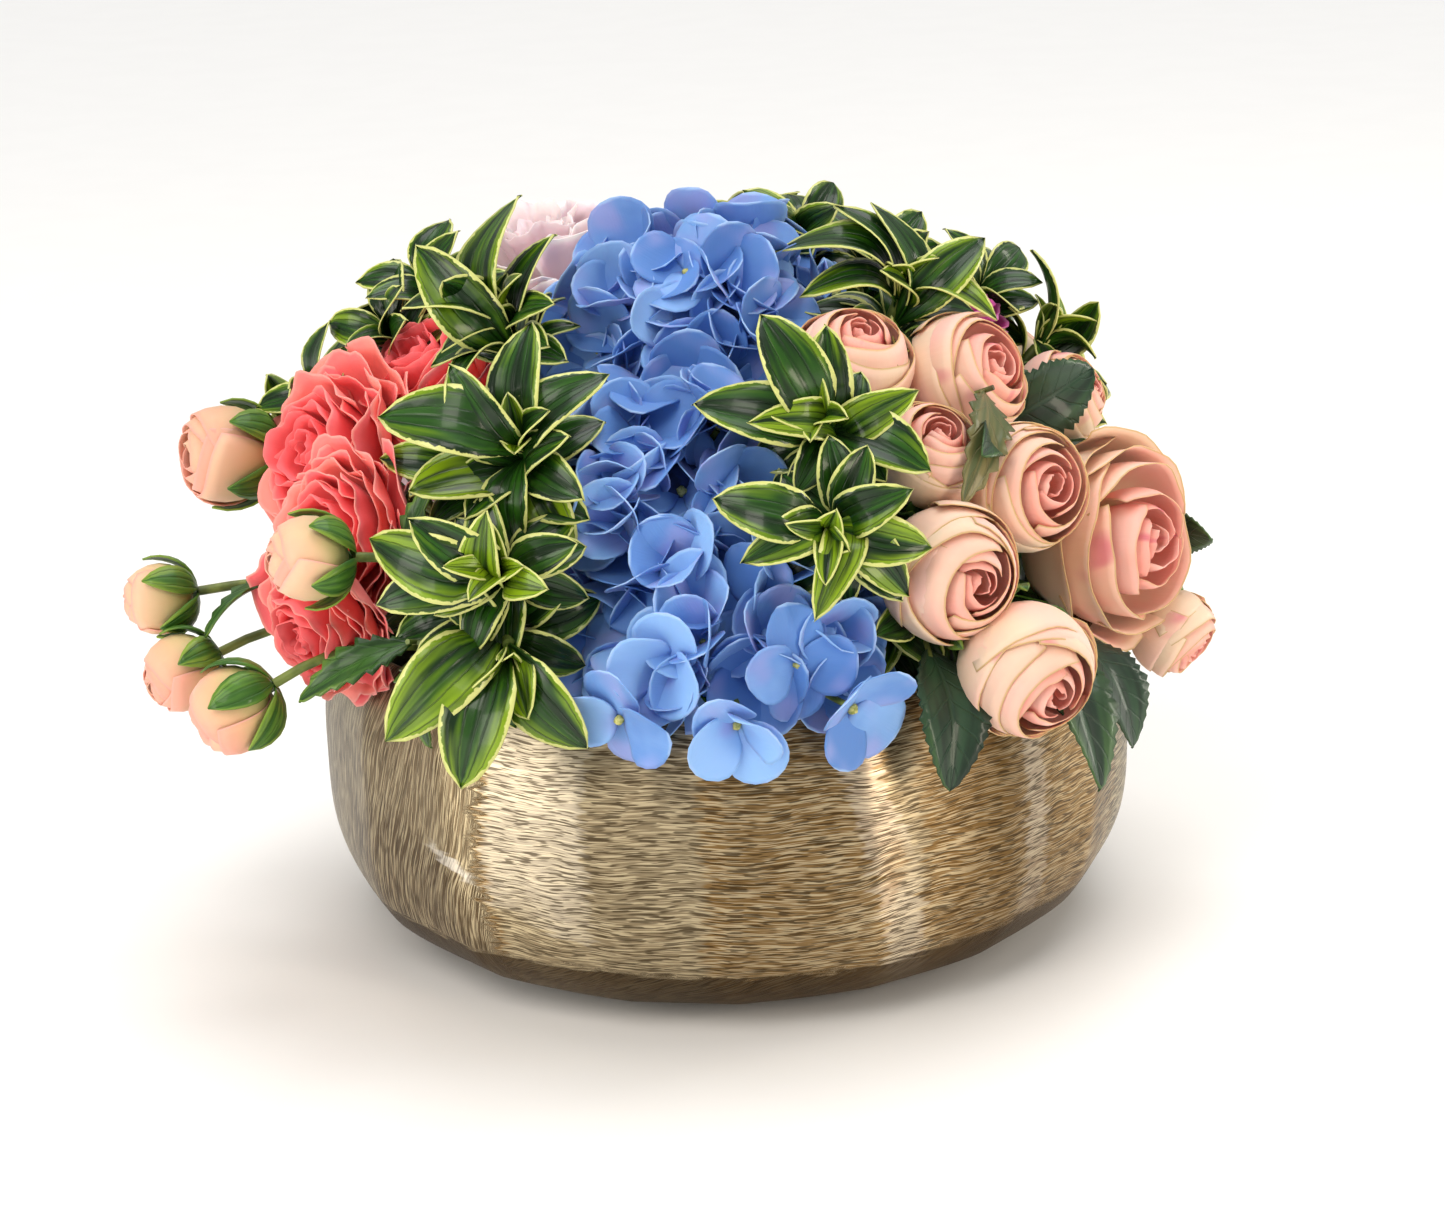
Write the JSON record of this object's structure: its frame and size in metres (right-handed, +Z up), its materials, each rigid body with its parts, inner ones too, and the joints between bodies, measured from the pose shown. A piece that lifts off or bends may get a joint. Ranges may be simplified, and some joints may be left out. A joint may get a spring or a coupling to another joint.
{
  "type": "floral centerpiece",
  "caption": "Low round brushed-metal bowl filled with a dome of blue hydrangea, coral ranunculus, peach roses, buds and cream-edged leaves",
  "frame": {"origin": "Centre of the bowl's flat underside, on the plane it stands on", "axes": "+Z up, out of the bowl; -Y the side that is seen, with the blue heads; +X to its right, towards the roses"},
  "size_m": [0.4127, 0.3592, 0.289],
  "materials": {
    "bowl_metal": "hand-brushed warm nickel, fine short hatch marks, satin",
    "foam": "dark green floral foam with moss, matte",
    "petal_blue": "blue silk petals, paler rims, soft sheen",
    "petal_coral": "coral silk petals with peach hearts",
    "petal_bud": "cream silk buds flushed pink",
    "petal_peach": "peach and cream silk rose petals",
    "petal_blush": "very pale pink silk petals",
    "petal_magenta": "magenta silk petals",
    "stalk_green": "moulded green stems, sepals and toothed leaves, satin",
    "variegated_leaf": "dark green leaves with cream margins, glossy"
  },
  "bodies": {
    "root": {"bowl": "bowl_metal", "bud_upper": "petal_bud", "bud_front": "petal_bud", "bud_far_left": "petal_bud", "bud_left": "petal_bud", "bud_low": "petal_bud", "rose_crown": "petal_peach", "rose_upper": "petal_peach", "rose_inner": "petal_peach", "rose_middle": "petal_peach", "rose_front": "petal_peach", "rose_large": "petal_peach", "rose_low": "petal_peach", "rose_right": "petal_peach", "rose_side": "petal_peach", "rose_back_upper": "petal_peach", "rose_back_low": "petal_peach", "rose_back_inner": "petal_peach", "ranunculus_upper": "petal_coral", "ranunculus_large": "petal_coral", "ranunculus_middle": "petal_coral", "ranunculus_low": "petal_coral", "blush_upper": "petal_blush", "blush_back": "petal_blush", "magenta_upper": "petal_magenta", "magenta_back": "petal_magenta", "hydrangea_low": "petal_blue", "hydrangea_top": "petal_blue", "hydrangea_middle": "petal_blue", "hydrangea_back": "petal_blue", "hydrangea_low_stem": "stalk_green", "hydrangea_top_stem": "stalk_green", "hydrangea_middle_stem": "stalk_green", "hydrangea_back_stem": "stalk_green", "ranunculus_upper_stalks": "stalk_green", "ranunculus_large_stalks": "stalk_green", "ranunculus_middle_stalks": "stalk_green", "ranunculus_low_stalks": "stalk_green", "rose_spray_1": "stalk_green", "rose_spray_2": "stalk_green", "rose_spray_3": "stalk_green", "rose_spray_4": "stalk_green", "blush_upper_stem": "stalk_green", "blush_back_stem": "stalk_green", "magenta_upper_stem": "stalk_green", "magenta_back_stem": "stalk_green", "sprig_upper_left": "variegated_leaf", "sprig_left": "variegated_leaf", "sprig_low_left": "variegated_leaf", "sprig_hanging": "variegated_leaf", "sprig_centre": "variegated_leaf", "sprig_centre_low": "variegated_leaf", "sprig_upper_right": "variegated_leaf", "sprig_right": "variegated_leaf", "sprig_upper_back": "variegated_leaf", "sprig_far_left": "variegated_leaf", "sprig_back_left": "variegated_leaf", "sprig_back_right": "variegated_leaf", "sprig_back_centre": "variegated_leaf", "foam": "foam"}
  },
  "joints": []
}
